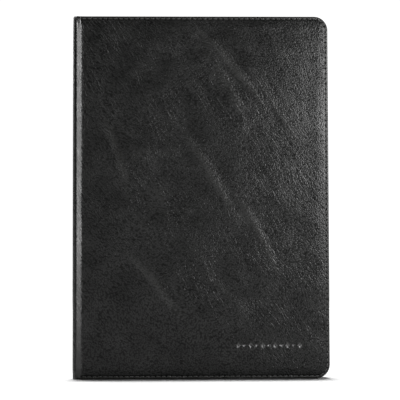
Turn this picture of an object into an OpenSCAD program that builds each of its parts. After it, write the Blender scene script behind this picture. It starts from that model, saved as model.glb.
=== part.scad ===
// Book-style leather tablet case, standing on its lower edge and closed.
// X runs from the spine to the free edge, Y from the front cover to the back cover, Z up.
// The origin is at the middle of the case's footprint, on the surface that it stands on.

/* [Tablet that the case holds] */
// Width of the tablet
tablet_w = 169.5; // [140:0.5:210]
// Height of the tablet
tablet_h = 240; // [200:1:300]
// Thickness of the tablet
tablet_t = 7.5; // [6:0.1:12]
// Corner radius of the tablet
tablet_r = 8.5; // [6:0.5:12]

/* [Tablet shell] */
// Thickness of the side walls
shell_wall = 1.0; // [0.8:0.1:2]
// Thickness of the floor
shell_floor = 1.0; // [0.8:0.1:2]
// Clearance between the tablet and each side wall
side_fit = 0.25; // [0.1:0.05:0.5]
// Clearance between the tablet and the corner lips
lip_fit = 0.1; // [0.05:0.05:0.4]
// Thickness of the corner lips
lip_t = 0.8; // [0.6:0.1:1.5]
// How far a corner lip reaches over the tablet
lip_reach = 1.4; // [0.8:0.1:2.5]
// Length of each leg of a corner lip
lip_leg = 24; // [15:1:40]
// Thickness of the microfibre pad on the floor
pad_t = 0.3; // [0.2:0.1:1]
// Thickness of the adhesive sheet behind the shell
tape_t = 0.3; // [0.2:0.1:0.8]
// Margin of the adhesive sheet inside the shell's outline
tape_margin = 12; // [5:1:30]

/* [Covers] */
// Thickness of the outer leather
leather_t = 1.0; // [0.8:0.1:1.6]
// Thickness of the padding under the front leather
foam_t = 0.5; // [0.4:0.1:2]
// Thickness of the stiffening boards
board_t = 1.1; // [0.8:0.1:2]
// Thickness of the lining and of the skived leather turned in beside it
lining_t = 0.5; // [0.4:0.1:1]
// Width of the leather turned in around the inside
turn_in = 8; // [5:0.5:14]
// Corner radius of the covers at the free edge
cover_r = 9.5; // [6:0.5:14]
// How far the covers reach past the shell at the free edge
free_margin = 1.6; // [1:0.1:5]
// How far the covers reach past the shell at the head and the tail
end_margin = 3.25; // [2:0.25:8]
// Clearance between the closed front cover and the shell
cover_gap = 0.3; // [0.3:0.1:1]
// Clearance around pieces laid into another piece
laid_gap = 0.1; // [0.05:0.05:0.2]

/* [Spine] */
// Outer radius of the two rounded spine corners
spine_r = 6; // [5:0.25:7]
// Thickness of the spine stiffener
spine_board_t = 0.6; // [0.4:0.1:1]
// Thickness of the spine lining
spine_lining_t = 0.4; // [0.3:0.1:0.8]
// Clearance between the spine lining and the shell
spine_gap = 0.4; // [0.4:0.1:1]
// How far the stiffener and the lining reach round each rounded corner
spine_reach = 0.8; // [0.2:0.1:1]
// Depth of each fold axis under the outer faces
fold_depth = 2.5; // [2.2:0.1:3]
// Clearance between the pieces that turn past each other at a fold
fold_gap = 0.3; // [0.3:0.1:0.6]

/* [Seams] */
// Distance from the cover's edge to the seam
seam_inset = 1.8; // [1.5:0.1:4]
// Pitch of the stitches
stitch_pitch = 3.6; // [3.2:0.1:6]
// Length of one visible stitch
stitch_l = 2.7; // [1.5:0.1:3]
// Thread thickness
thread_d = 0.5; // [0.3:0.05:0.6]
// Depth of the channel that the seam lies in
seam_depth = 0.35; // [0.2:0.05:0.4]
// Depth of the channel on the inside of a cover
inner_seam_depth = 0.25; // [0.15:0.05:0.3]
// How far the thread lies under the leather's face
thread_drop = 0.05; // [0.05:0.05:0.1]

/* [Magnets] */
// Radius of a magnet disc
magnet_r = 4; // [2.5:0.5:6]
// Distance from the free edge to the magnets
magnet_inset = 12; // [9:0.5:20]
// Distance from one magnet to the next up the free edge
magnet_spacing = 60; // [30:1:60]

/* [Camera and port openings] */
// Clear radius of the camera window
camera_r = 7.5; // [5:0.5:9]
// Distance from the tablet's top and free edge to the camera window's centre
camera_inset = 16; // [14:0.5:20]
// Wall of the camera window's ring
ring_wall = 0.8; // [0.6:0.1:1.5]
// How far the ring lies below the back leather's face
ring_drop = 0.3; // [0.1:0.1:0.8]
// Width of the charging port opening
port_w = 18; // [12:1:30]
// Width of each speaker opening
speaker_w = 30; // [15:1:36]
// Distance from the middle of the case to a speaker opening's centre
speaker_x = 42; // [35:1:48]
// Width of the headphone opening
jack_w = 11; // [8:1:16]
// Length of the power button opening
power_l = 26; // [15:1:32]
// Length of the volume button opening
volume_l = 44; // [30:1:60]

/* [Debossed ornament] */
// Length of the row of lozenges
mark_w = 45; // [30:1:60]
// Number of lozenges
mark_count = 11; // [5:2:13]
// Height of a tall lozenge
mark_h = 5; // [3:0.5:8]
// Height of a short lozenge
mark_short_h = 2.5; // [1:0.5:5]
// Width of a lozenge
lozenge_w = 2.9; // [1:0.1:3.4]
// Distance from the free edge to the row's end
mark_inset = 19; // [14:1:60]
// Height of the row's middle above the tail
mark_rise = 23; // [14:1:60]
// Depth of the impression
mark_depth = 0.3; // [0.1:0.05:0.5]

/* [Hidden] */
$fn = 64;
past = 1; // how far a cutting shape runs past the face that it cuts

// Overall size
shell_w = tablet_w + 2 * (side_fit + shell_wall);
shell_h = tablet_h + 2 * (side_fit + shell_wall);
shell_t = lip_t + lip_fit + tablet_t + pad_t + shell_floor;
front_t = leather_t + foam_t + board_t + lining_t;
back_t = leather_t + board_t + lining_t;
spine_t = leather_t + spine_board_t + spine_lining_t;
case_w = spine_t + spine_gap + shell_w + free_margin;
case_h = shell_h + 2 * end_margin;
case_t = front_t + cover_gap + shell_t + tape_t + back_t;

// Places across the width
spine_x = -case_w / 2;
free_x = case_w / 2;
fold_x = spine_x + fold_depth;
cover_x = fold_x + fold_depth + fold_gap;
shell_x = spine_x + spine_t + spine_gap;

// Places through the thickness
front_y = -case_t / 2;
back_y = case_t / 2;
front_inner_y = front_y + front_t;
back_inner_y = back_y - back_t;
shell_y = front_inner_y + cover_gap;
shell_back_y = shell_y + shell_t;
floor_y = shell_back_y - shell_floor;
spine_half = back_y - fold_depth - fold_gap - lining_t;
spine_inner_half = back_y - spine_r + spine_reach;

// Camera window's centre
camera_x = shell_x + shell_w - shell_wall - side_fit - camera_inset;
camera_z = end_margin + shell_h - shell_wall - side_fit - camera_inset;
ring_r = camera_r + ring_wall;

// A flat shape drawn in X and Z, given thickness from y0 to y1
module slab(y0, y1) {
    translate([0, y1, 0]) rotate([90, 0, 0]) linear_extrude(y1 - y0) children();
}

// A rectangle with all four corners rounded
module rounded(x, z, w, h, r) {
    translate([x + r, z]) square([w - 2 * r, h]);
    translate([x, z + r]) square([w, h - 2 * r]);
    for (cx = [x + r, x + w - r], cz = [z + r, z + h - r]) translate([cx, cz]) circle(r);
}

// Outline of a cover, drawn in by an inset on every side but the fold, which it meets square
module cover_outline(inset) {
    r = cover_r - inset;
    if (r > 0) {
        translate([cover_x, inset]) square([free_x - cover_r - cover_x, case_h - 2 * inset]);
        translate([cover_x, cover_r]) square([free_x - inset - cover_x, case_h - 2 * cover_r]);
        for (z = [cover_r, case_h - cover_r]) translate([free_x - cover_r, z]) circle(r);
    } else {
        translate([cover_x, inset]) square([free_x - inset - cover_x, case_h - 2 * inset]);
    }
}

// Strip of a cover between two insets
module cover_strip(outer_inset, inner_inset) {
    difference() {
        cover_outline(outer_inset);
        translate([-past, 0]) cover_outline(inner_inset);
        cover_outline(inner_inset);
    }
}

// Leather of a cover: face, wrapped edge and turned-in border, lying from y = 0 to its thickness
module cover_leather(thickness) {
    difference() {
        union() {
            slab(0, leather_t) cover_outline(0);
            slab(leather_t, thickness - lining_t) cover_strip(0, leather_t);
            slab(thickness - lining_t, thickness) cover_strip(0, leather_t + turn_in);
        }
        seam_channel(-past, seam_depth);
        seam_channel(thickness - inner_seam_depth, thickness + past);
    }
}

// Channel of a seam, cut into the leather from y0 to y1
module seam_channel(y0, y1) {
    slab(y0, y1) cover_strip(seam_inset - thread_d, seam_inset + thread_d);
}

// The seam runs out along the tail, round the free corner, up the free edge and back along the head
seam_r = cover_r - seam_inset;
seam_side = free_x - cover_r - cover_x;
seam_arc = PI / 2 * seam_r;
seam_up = case_h - 2 * cover_r;
seam_total = 2 * seam_side + 2 * seam_arc + seam_up;
stitch_count = floor(seam_total / stitch_pitch);

// Place on the seam at a distance s from its start: X, Z and direction in degrees
function seam_place(s) =
    s < seam_side ? [cover_x + s, seam_inset, 0] :
    s < seam_side + seam_arc ? seam_bend(cover_r, (s - seam_side) / seam_r * 180 / PI) :
    s < seam_side + seam_arc + seam_up ? [free_x - seam_inset, cover_r + s - seam_side - seam_arc, 90] :
    s < seam_total - seam_side ?
        seam_bend(case_h - cover_r, 90 + (s - seam_side - seam_arc - seam_up) / seam_r * 180 / PI) :
    [cover_x + seam_total - s, case_h - seam_inset, 180];

// Place on a corner's bend, turned by an angle from the tail's direction
function seam_bend(z, turn) =
    [free_x - cover_r + seam_r * sin(turn), z - seam_r * cos(turn), turn];

// Row of stitches lying in the seam channel from y0 to y1
module stitches(y0, y1) {
    for (i = [0 : stitch_count - 1]) {
        place = seam_place((i + 0.5) * seam_total / stitch_count);
        translate([place[0], y0, place[1]]) rotate([0, -place[2], 0])
            translate([-stitch_l / 2, 0, -thread_d / 2]) cube([stitch_l, y1 - y0, thread_d]);
    }
}

// Turns what is drawn for the front cover into the back cover's place
module as_back() {
    translate([0, back_y, 0]) mirror([0, 1, 0]) children();
}

// Magnet discs in a board, three up the free edge, from y0 to y1
module magnet_discs(y0, y1, r) {
    for (step = [-1, 0, 1])
        translate([free_x - magnet_inset, y1, case_h / 2 + step * magnet_spacing])
            rotate([90, 0, 0]) cylinder(h = y1 - y0, r = r);
}

// Round hole or plug at the camera window
module at_camera(y0, y1, r) {
    translate([camera_x, y1, camera_z]) rotate([90, 0, 0]) cylinder(h = y1 - y0, r = r);
}

// Row of lozenges, tall and short in turn
module lozenge_row() {
    pitch = (mark_w - lozenge_w) / (mark_count - 1);
    for (i = [0 : mark_count - 1]) {
        tall = (i % 2 == 0 ? mark_h : mark_short_h) / 2;
        wide = lozenge_w / 2;
        translate([i * pitch - (mark_w - lozenge_w) / 2, 0]) polygon([[-wide, 0], [0, -tall], [wide, 0], [0, tall]]);
    }
}

module front_leather() {
    mark_x = free_x - mark_inset - mark_w / 2;
    color("#1c1d1c") difference() {
        translate([0, front_y, 0]) cover_leather(front_t);
        slab(front_y - past, front_y + mark_depth) translate([mark_x, mark_rise]) lozenge_row();
    }
}

module front_padding() {
    padding_inset = seam_inset + 2 * thread_d;
    color("#3a3a3a") slab(front_y + leather_t, front_y + leather_t + foam_t) cover_outline(padding_inset);
}

module front_board() {
    y0 = front_y + leather_t + foam_t;
    color("#6b5d49") difference() {
        slab(y0, y0 + board_t) cover_outline(leather_t);
        magnet_discs(y0 - past, y0 + board_t + past, magnet_r + laid_gap);
    }
}

module front_lining() {
    color("#2a2b2d") slab(front_inner_y - lining_t, front_inner_y) cover_outline(leather_t + turn_in + laid_gap);
}

module front_stitching() {
    color("#0e0e0e") translate([0, front_y, 0]) stitches(thread_drop, seam_depth);
}

module front_inner_stitching() {
    color("#0e0e0e") translate([0, front_y, 0]) stitches(front_t - inner_seam_depth, front_t - thread_drop);
}

module front_magnets() {
    y0 = front_y + leather_t + foam_t;
    color("#9a9da0") magnet_discs(y0, y0 + board_t, magnet_r);
}

// Section of the spine between two depths under its outer face, as wide as twice a half width
module spine_section(outer_depth, inner_depth, half) {
    intersection() {
        difference() {
            spine_round(outer_depth);
            spine_round(inner_depth);
        }
        translate([spine_x, -half]) square([spine_r, 2 * half]);
    }
}

// The rounded spine, as a filled shape drawn in by a depth
module spine_round(depth) {
    translate([spine_x + spine_r, -case_t / 2 + depth]) square([spine_r, case_t - 2 * depth]);
    translate([spine_x + depth, -case_t / 2 + spine_r]) square([2 * spine_r - depth, case_t - 2 * spine_r]);
    for (y = [-1, 1]) translate([spine_x + spine_r, y * (case_t / 2 - spine_r)]) circle(spine_r - depth);
}

module spine_leather() {
    color("#1c1d1c") linear_extrude(case_h) spine_section(0, leather_t, spine_half);
}

module spine_board() {
    color("#6b5d49") translate([0, 0, end_margin]) linear_extrude(case_h - 2 * end_margin)
        spine_section(leather_t, leather_t + spine_board_t, spine_inner_half);
}

module spine_lining() {
    depth = leather_t + spine_board_t;
    color("#2a2b2d") translate([0, 0, leather_t]) linear_extrude(case_h - 2 * leather_t)
        spine_section(depth, depth + spine_lining_t, spine_inner_half);
}

module back_leather() {
    color("#1c1d1c") difference() {
        as_back() cover_leather(back_t);
        at_camera(back_inner_y - past, back_y + past, ring_r + laid_gap);
    }
}

module back_board() {
    y0 = back_inner_y + lining_t;
    color("#6b5d49") difference() {
        slab(y0, y0 + board_t) cover_outline(leather_t);
        magnet_discs(y0 - past, y0 + board_t + past, magnet_r + laid_gap);
        at_camera(y0 - past, y0 + board_t + past, ring_r + laid_gap);
    }
}

module back_lining() {
    color("#2a2b2d") difference() {
        slab(back_inner_y, back_inner_y + lining_t) cover_outline(leather_t + turn_in + laid_gap);
        at_camera(back_inner_y - past, back_y, ring_r + laid_gap);
    }
}

module back_stitching() {
    color("#0e0e0e") as_back() stitches(thread_drop, seam_depth);
}

module back_inner_stitching() {
    color("#0e0e0e") as_back() stitches(back_t - inner_seam_depth, back_t - thread_drop);
}

module back_magnets() {
    y0 = back_inner_y + lining_t;
    color("#9a9da0") magnet_discs(y0, y0 + board_t, magnet_r);
}

module shell_tape() {
    color("#d8d8d4") difference() {
        slab(shell_back_y, back_inner_y)
            translate([shell_x + tape_margin, end_margin + tape_margin])
                square([shell_w - 2 * tape_margin, shell_h - 2 * tape_margin]);
        at_camera(shell_back_y - past, back_inner_y + past, ring_r + laid_gap);
    }
}

// Outline of the shell, drawn in by an inset
module shell_outline(inset) {
    r = tablet_r + side_fit + shell_wall - inset;
    rounded(shell_x + inset, end_margin + inset, shell_w - 2 * inset, shell_h - 2 * inset, r);
}

// Cut through the shell's wall for a port or a button, centred at X, Z
module wall_opening(x, z, w, h) {
    slab(shell_y - past, floor_y - pad_t) translate([x - w / 2, z - h / 2]) square([w, h]);
}

module tablet_shell() {
    reach = 4 * shell_wall;
    tail_z = end_margin;
    head_z = end_margin + shell_h;
    free_wall_x = shell_x + shell_w;
    middle_x = shell_x + shell_w / 2;
    color("#232425") difference() {
        slab(shell_y, shell_back_y) shell_outline(0);
        slab(shell_y + lip_t, floor_y) shell_outline(shell_wall);
        slab(shell_y - past, shell_y + lip_t) difference() {
            shell_outline(shell_wall);
            difference() {
                corner_squares();
                shell_outline(shell_wall + side_fit + lip_reach);
            }
        }
        at_camera(floor_y - past, shell_back_y + past, ring_r + laid_gap);
        wall_opening(middle_x, tail_z, port_w, reach);
        for (side = [-1, 1]) wall_opening(middle_x + side * speaker_x, tail_z, speaker_w, reach);
        wall_opening(shell_x + lip_leg + jack_w, head_z, jack_w, reach);
        wall_opening(free_wall_x - lip_leg - power_l / 2, head_z, power_l, reach);
        wall_opening(free_wall_x, head_z - lip_leg - volume_l / 2, reach, volume_l);
    }
}

// Squares over the shell's corners, as large as the lips' legs
module corner_squares() {
    for (x = [shell_x, shell_x + shell_w - lip_leg], z = [end_margin, end_margin + shell_h - lip_leg])
        translate([x, z]) square(lip_leg);
}

module shell_pad() {
    color("#3b3d40") difference() {
        slab(floor_y - pad_t, floor_y) shell_outline(shell_wall + side_fit);
        at_camera(floor_y - pad_t - past, floor_y + past, ring_r + laid_gap);
    }
}

module camera_ring() {
    color("#101112") difference() {
        at_camera(back_inner_y, back_y - ring_drop, ring_r);
        at_camera(back_inner_y - past, back_y + past, camera_r);
    }
}

front_leather();
front_padding();
front_board();
front_lining();
front_stitching();
front_inner_stitching();
front_magnets();
spine_leather();
spine_board();
spine_lining();
back_leather();
back_board();
back_lining();
back_stitching();
back_inner_stitching();
back_magnets();
shell_tape();
tablet_shell();
shell_pad();
camera_ring();
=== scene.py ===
# %% [markdown]
# # A book-style leather tablet case
# The case is one sheet of black leather wrapped round two boards and a narrow spine, with a moulded
# tray for the tablet inside. The frame below brings in the fixed CAD parts. Every soft piece is
# rebuilt around them: leather, padding, thread and lining. The hard parts that are already right
# get a finish only. Everything is in metres: X from the spine to the free edge, Y to the back, Z up.

# %% Load the fixed frame
import math

import bmesh
import bpy
import numpy as np
from mathutils import Matrix, Vector


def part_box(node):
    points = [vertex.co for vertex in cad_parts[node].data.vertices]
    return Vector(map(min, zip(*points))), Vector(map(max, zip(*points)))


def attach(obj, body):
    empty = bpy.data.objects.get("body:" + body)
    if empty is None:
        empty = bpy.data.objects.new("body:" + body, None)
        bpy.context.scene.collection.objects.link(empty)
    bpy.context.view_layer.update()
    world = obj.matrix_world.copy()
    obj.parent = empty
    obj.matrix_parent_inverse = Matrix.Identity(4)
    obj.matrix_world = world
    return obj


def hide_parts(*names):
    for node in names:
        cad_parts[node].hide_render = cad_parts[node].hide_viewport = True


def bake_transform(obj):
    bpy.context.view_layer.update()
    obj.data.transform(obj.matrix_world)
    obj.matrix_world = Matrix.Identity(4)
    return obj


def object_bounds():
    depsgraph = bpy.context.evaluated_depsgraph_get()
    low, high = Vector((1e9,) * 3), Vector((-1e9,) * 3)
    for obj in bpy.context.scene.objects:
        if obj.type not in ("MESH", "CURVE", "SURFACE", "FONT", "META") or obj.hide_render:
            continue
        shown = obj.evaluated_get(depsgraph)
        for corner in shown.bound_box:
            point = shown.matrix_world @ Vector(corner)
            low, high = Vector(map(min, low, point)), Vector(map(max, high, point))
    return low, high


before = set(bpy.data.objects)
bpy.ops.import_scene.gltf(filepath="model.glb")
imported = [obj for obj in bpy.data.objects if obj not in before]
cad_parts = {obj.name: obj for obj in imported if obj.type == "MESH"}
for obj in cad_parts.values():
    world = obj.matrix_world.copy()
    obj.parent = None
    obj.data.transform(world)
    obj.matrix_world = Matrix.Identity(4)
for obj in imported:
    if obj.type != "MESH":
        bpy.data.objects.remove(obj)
cad_low, cad_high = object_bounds()
MM = 0.001


def mm(*lengths):
    """Lengths in millimetres, rounded to a tenth, for the printed lines."""
    return [round(v / MM, 1) for v in lengths]


def new_object(name, data):
    """An object of some data, shown in the scene."""
    made = bpy.data.objects.new(name, data)
    bpy.context.scene.collection.objects.link(made)
    return made


print("CAD box in mm:", mm(*cad_low, *cad_high))

# %% [markdown]
# ## The camera comes first
# The case is seen square on, from a metre away and a little below its middle, so its sides close in
# slightly towards the top. A long lens keeps that effect small. The camera is placed by its angles
# round the case: how far to the side, how far up, and how far it is turned about its own view.

# %% Camera
CAMERA_DISTANCE = 1.0
CAMERA_AZIMUTH = math.radians(-1.58)
CAMERA_ELEVATION = math.radians(-2.98)
CAMERA_ROLL = math.radians(-0.162)
CAMERA_LENS = 130.3
CAMERA_SHIFT = (-0.0013, -0.0074)
CAMERA_NEAR = 0.05

middle = (cad_low + cad_high) / 2
camera_data = bpy.data.cameras.new("camera")
camera = new_object("camera", camera_data)
bpy.context.scene.camera = camera
away = Vector((
    math.sin(CAMERA_AZIMUTH) * math.cos(CAMERA_ELEVATION),
    -math.cos(CAMERA_AZIMUTH) * math.cos(CAMERA_ELEVATION),
    math.sin(CAMERA_ELEVATION),
))
camera.location = middle + away * CAMERA_DISTANCE
camera.rotation_mode = "QUATERNION"
roll = Matrix.Rotation(CAMERA_ROLL, 3, away).to_quaternion()
camera.rotation_quaternion = roll @ away.to_track_quat("Z", "Y")
camera_data.lens = CAMERA_LENS
camera_data.shift_x, camera_data.shift_y = CAMERA_SHIFT
camera_data.clip_start = CAMERA_NEAR
print("camera at", mm(*camera.location), "mm")

# %% [markdown]
# ## Sizes
# Most sizes are read from the frame, so the looks follow the CAD. The few that a leather worker
# would set with a rule, such as how far the seam is from the edge, repeat the CAD's own values.

# %% Driving sizes
SPINE_R = 6 * MM
COVER_R = 9.5 * MM
SEAM_INSET = 1.8 * MM
STITCH_PITCH = 3.6 * MM
TURN_IN = 8 * MM
LINING_GAP = 0.1 * MM
GUTTER_T = 1.2 * MM

half_w = cad_high.x
half_t = cad_high.y
case_h = cad_high.z
front_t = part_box("front_leather")[1].y - cad_low.y
back_t = cad_high.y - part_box("back_leather")[0].y
leather_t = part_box("spine_board")[0].x - cad_low.x
spine_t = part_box("spine_lining")[1].x - cad_low.x
board_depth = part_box("front_board")[0].y - cad_low.y
spine_flat = half_t - SPINE_R
corner_end = spine_flat + SPINE_R * math.pi / 2
sheet_w = corner_end + 2 * half_w - SPINE_R
print("front cover, back cover and leather are", mm(front_t, back_t, leather_t), "mm thick")
print("from the middle of the spine to the free edge the sheet shows", mm(sheet_w), "mm")

# %% [markdown]
# ## Small tools for surfaces
# Each new piece is a surface on a grid of two parameters, worked out as whole arrays. These helpers
# join the grid's points into faces, put them into a mesh, and keep each point's place on the flat
# leather sheet, because a pattern has to follow the skin round the spine and through every fold.

# %% Surface helpers
def ramp(x, start, end):
    """Smooth step: 0 before start, 1 after end, and 3 t squared - 2 t cubed of the way t between."""
    t = np.clip((x - start) / (end - start), 0, 1)
    return t * t * (3 - 2 * t)


def bell(x, centre, width):
    """Bell curve of height 1 at centre: e to the minus square of the distance over the width."""
    return np.exp(-(((x - centre) / width) ** 2))


def grid_faces(index):
    """Quads that join an index grid's neighbours, each turning along the row and then to the next row."""
    return np.stack([index[:-1, :-1], index[:-1, 1:], index[1:, 1:], index[1:, :-1]], -1).reshape(-1, 4)


def spaced(*stretches):
    """Numbers over stretches of (start, end, step), with each shared end given once."""
    runs = [np.linspace(a, b, max(2, round((b - a) / step) + 1))[:-1] for a, b, step in stretches]
    return np.append(np.concatenate(runs), stretches[-1][1])


def mark_open_edges(mesh):
    """Edges that only one face uses become sharp, so a rim that Solidify adds is shaded on its own."""
    used = np.zeros(len(mesh.loops), np.int32)
    mesh.loops.foreach_get("edge_index", used)
    open_edge = np.bincount(used, minlength=len(mesh.edges)) == 1
    mesh.attributes.new("sharp_edge", "BOOLEAN", "EDGE").data.foreach_set("value", open_edge)


def make_piece(name, points, faces, material, **attributes):
    """A mesh object at the origin from arrays of points and faces, smooth, with named point attributes."""
    mesh = bpy.data.meshes.new(name)
    mesh.from_pydata(points.reshape(-1, 3).tolist(), [], faces.tolist())
    mesh.polygons.foreach_set("use_smooth", np.ones(len(mesh.polygons), bool))
    for key, values in attributes.items():
        values = np.asarray(values, np.float32)
        kind, field = ("FLOAT_VECTOR", "vector") if values.ndim > 1 else ("FLOAT", "value")
        mesh.attributes.new(key, kind, "POINT").data.foreach_set(field, values.ravel())
    mark_open_edges(mesh)
    mesh.materials.append(material)
    mesh.update()
    piece = new_object(name, mesh)
    print(f"{name}: {len(mesh.vertices)} points, {len(mesh.polygons)} faces")
    return piece


# %% [markdown]
# ## The wrapped skin
# The leather is cut flat, so it is easiest to design it flat. The number `s` runs over the flat
# sheet from the middle of the spine to the free edge. One function wraps the sheet: straight up the
# spine, a quarter circle at the corner, then straight over the cover.

# %% Wrapping the flat sheet round the case
GUTTER_FALL = (0.3 * MM, 2.2 * MM)
COVER_RISE = (-3.0 * MM, -1.6 * MM)


def wrap(s, depth, side):
    """X and Y of a place on the sheet: a straight, a quarter circle and a straight, moved inwards
    by depth along the sheet's own normal. side is -1 for the front cover and 1 for the back."""
    turn = np.clip((s - spine_flat) / SPINE_R, 0, math.pi / 2)
    x = cad_low.x + SPINE_R + np.maximum(s - corner_end, 0) - (SPINE_R - depth) * np.cos(turn)
    y = side * (np.minimum(s, spine_flat) + (SPINE_R - depth) * np.sin(turn))
    return x, y


def place(s, z, depth, side):
    """Points of the wrapped skin, from places on the sheet and depths."""
    x, y = wrap(s, depth, side)
    return np.stack([x, y, np.broadcast_to(z, x.shape)], -1)


def inner_depth(s, cover_t):
    """Depth of the case's inside: the spine's thickness, thin in the gutter, then the cover's. It is
    at its full depth before the board starts, so that the lining covers the board's edge."""
    gutter = ramp(s, spine_flat + GUTTER_FALL[0], spine_flat + GUTTER_FALL[1])
    cover = ramp(s, corner_end + COVER_RISE[0], corner_end + COVER_RISE[1])
    return spine_t + (GUTTER_T - spine_t) * gutter + (cover_t - GUTTER_T) * cover


# %% [markdown]
# ## Relief of the leather
# Real leather is never flat. The padding lifts it inside the seam, the thread pulls it down, the
# hide keeps slow waves and a few long soft creases of its own, and at the head and tail of the spine
# the turned-in leather puckers. All of that is depth added to the flat sheet. The ornament, a plain
# row of lozenges tall and short in turn, is pressed in the same way.

# %% Relief
SEAM_DROP = 0.42 * MM
SEAM_DROP_FADE = (1.6 * MM, 8 * MM)
SPINE_DROP_SHARE = 0.35
GROOVE_DEPTH = 0.32 * MM
GROOVE_W = 0.55 * MM
WAVE = 0.25 * MM
WAVE_COUNT = 14
WAVE_SEED = 7
WAVE_RANGE = (18, 70)
CALM_AT_EDGE = 12 * MM
CALM_AT_SPINE = 14 * MM
SHOULDER_W = 3.4 * MM
SHOULDER = SHOULDER_W**2 / SPINE_R / 8
PUCKER = 0.45 * MM
PUCKERS = ((2.4 * MM, 0.7 * MM, 1.0), (5.6 * MM, 0.6 * MM, 0.6))
PUCKER_REACH = 2.6 * MM
RING_DROP = 0.3 * MM
RING_SLOPE = 2.2 * MM

MARK_W = 45 * MM
MARK_H = 5 * MM
MARK_SHORT_H = 2.5 * MM
MARK_DEPTH = 0.42 * MM
MARK_COUNT = 11
MARK_FROM_EDGE = 19 * MM
LOZENGE_W = 2.9 * MM
mark_s = sheet_w - MARK_FROM_EDGE - MARK_W / 2
mark_z = 23 * MM

LONG_CREASE = 0.34 * MM
CREASE_W = 2.2 * MM
CREASE_BOW = 0.035
CREASE_RISE, CREASE_FALL = 0.35, 0.6
# share of each long crease's height painted onto its top as a lighter, glossier painted sheen
CREASE_PAINTED_SHEEN = 0.8
LONG_CREASES = (
    (86, 245, 140, 182, 1.0),
    (98, 226, 126, 172, 0.7),
    (76, 176, 122, 98, 1.0),
    (24, 186, 45, 122, 0.9),
    (36, 94, 86, 32, 0.9),
    (112, 134, 150, 62, 0.8),
    (128, 210, 160, 160, 0.6),
    (58, 140, 74, 96, 0.5),
    (92, 74, 128, 40, 0.6),
)

wave_draw = np.random.default_rng(WAVE_SEED)
wave_turns = wave_draw.uniform(0, 2 * math.pi, WAVE_COUNT)
wave_lengths = wave_draw.uniform(*WAVE_RANGE, WAVE_COUNT) * MM
wave_starts = wave_draw.uniform(0, 2 * math.pi, WAVE_COUNT)
print(WAVE_COUNT, "slow waves of", mm(wave_lengths.min(), wave_lengths.max()), "mm, shortest and longest")


def slow_waves(s, z):
    """Sum of sine waves of seeded direction, length and start, over the root of their number."""
    along = s[..., None] * np.cos(wave_turns) + z[..., None] * np.sin(wave_turns)
    return np.sin(2 * math.pi * along / wave_lengths + wave_starts).sum(-1) / math.sqrt(WAVE_COUNT)


def long_creases(s, z):
    """Soft ridges where the hide was pulled: a bell across each line, bowed by a share of its
    length, times a smooth rise and fall along it. Lines are from s, z to s, z in millimetres."""
    height = 0 * s
    for s0, z0, s1, z1, strength in LONG_CREASES:
        length = math.hypot(s1 - s0, z1 - z0) * MM
        run_s, run_z = (s1 - s0) * MM / length, (z1 - z0) * MM / length
        along = ((s - s0 * MM) * run_s + (z - z0 * MM) * run_z) / length
        across = (z - z0 * MM) * run_s - (s - s0 * MM) * run_z
        bowed = across - CREASE_BOW * length * np.sin(math.pi * np.clip(along, 0, 1))
        window = ramp(along, 0, CREASE_RISE) * (1 - ramp(along, CREASE_FALL, 1))
        height = height + strength * bell(bowed, 0, CREASE_W) * window
    return height


def lozenges(s, z):
    """1 in the row of lozenges and 0 outside: across / half width + up / half height is under 1."""
    pitch = (MARK_W - LOZENGE_W) / (MARK_COUNT - 1)
    first = mark_s - (MARK_W - LOZENGE_W) / 2
    number = np.clip(np.round((s - first) / pitch), 0, MARK_COUNT - 1)
    half_high = np.where(number % 2 == 0, MARK_H / 2, MARK_SHORT_H / 2)
    size = np.abs(s - first - number * pitch) / (LOZENGE_W / 2) + np.abs(z - mark_z) / half_high
    return 1 - ramp(size, 0.7, 1.15)


def spine_puckers(s, z):
    """Two short creases round the spine's corner, bells across it that fade away from head and tail."""
    end = np.minimum(z, case_h - z)
    across = sum(share * bell(s, corner_end - back, width) for back, width, share in PUCKERS)
    return across * np.exp(-end / PUCKER_REACH)


def edge_distance(s, z):
    """Distance to the nearest cut edge, round the free corners: the rounded-box distance."""
    across = s - (sheet_w - COVER_R)
    up = np.abs(z - case_h / 2) - (case_h / 2 - COVER_R)
    outside = np.hypot(np.maximum(across, 0), np.maximum(up, 0))
    return COVER_R - outside - np.minimum(np.maximum(across, up), 0)


def shoulder(s):
    """The spine's corner is drawn flat beside the cover: a parabola as deep as the arc is high there."""
    across = np.clip((corner_end - s) / SHOULDER_W, 0, 1)
    return 4 * SHOULDER * across * (1 - across)


def face_depth(s, z, edge, side):
    """Depth of the outer face: seam drop and groove near the edge, slow waves, puckers, ornament,
    the shoulder of the spine's corner, less the height of the long creases."""
    on_cover = ramp(s, corner_end - 1 * MM, corner_end + 2 * MM)
    share = SPINE_DROP_SHARE + (1 - SPINE_DROP_SHARE) * on_cover
    drop = SEAM_DROP * (1 - ramp(edge, *SEAM_DROP_FADE)) * share
    groove = GROOVE_DEPTH * bell(edge, SEAM_INSET, GROOVE_W) * on_cover
    calm = ramp(edge, 0, CALM_AT_EDGE) * ramp(s, corner_end, corner_end + CALM_AT_SPINE)
    wave = WAVE * (1 + slow_waves(s, z * side)) / 2 * calm
    depth = drop + groove + wave + shoulder(s) + PUCKER * spine_puckers(s, z)
    if side < 0:
        return depth + MARK_DEPTH * lozenges(s, z) - LONG_CREASE * long_creases(s, z) * calm
    from_ring = np.hypot(s - hole_s, z - hole_z) - hole_r
    return depth + RING_DROP * (1 - ramp(from_ring, 0, RING_SLOPE))


# %% [markdown]
# ## Finishes
# Every finish is worked out by shader nodes, with no pictures. A small helper adds a node, sets its
# own choices and joins its inputs, so a material reads from top to bottom: where on the piece, which
# pattern, which colour, how rough, how deep. Numbers that are the same all over go on the shader.

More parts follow.
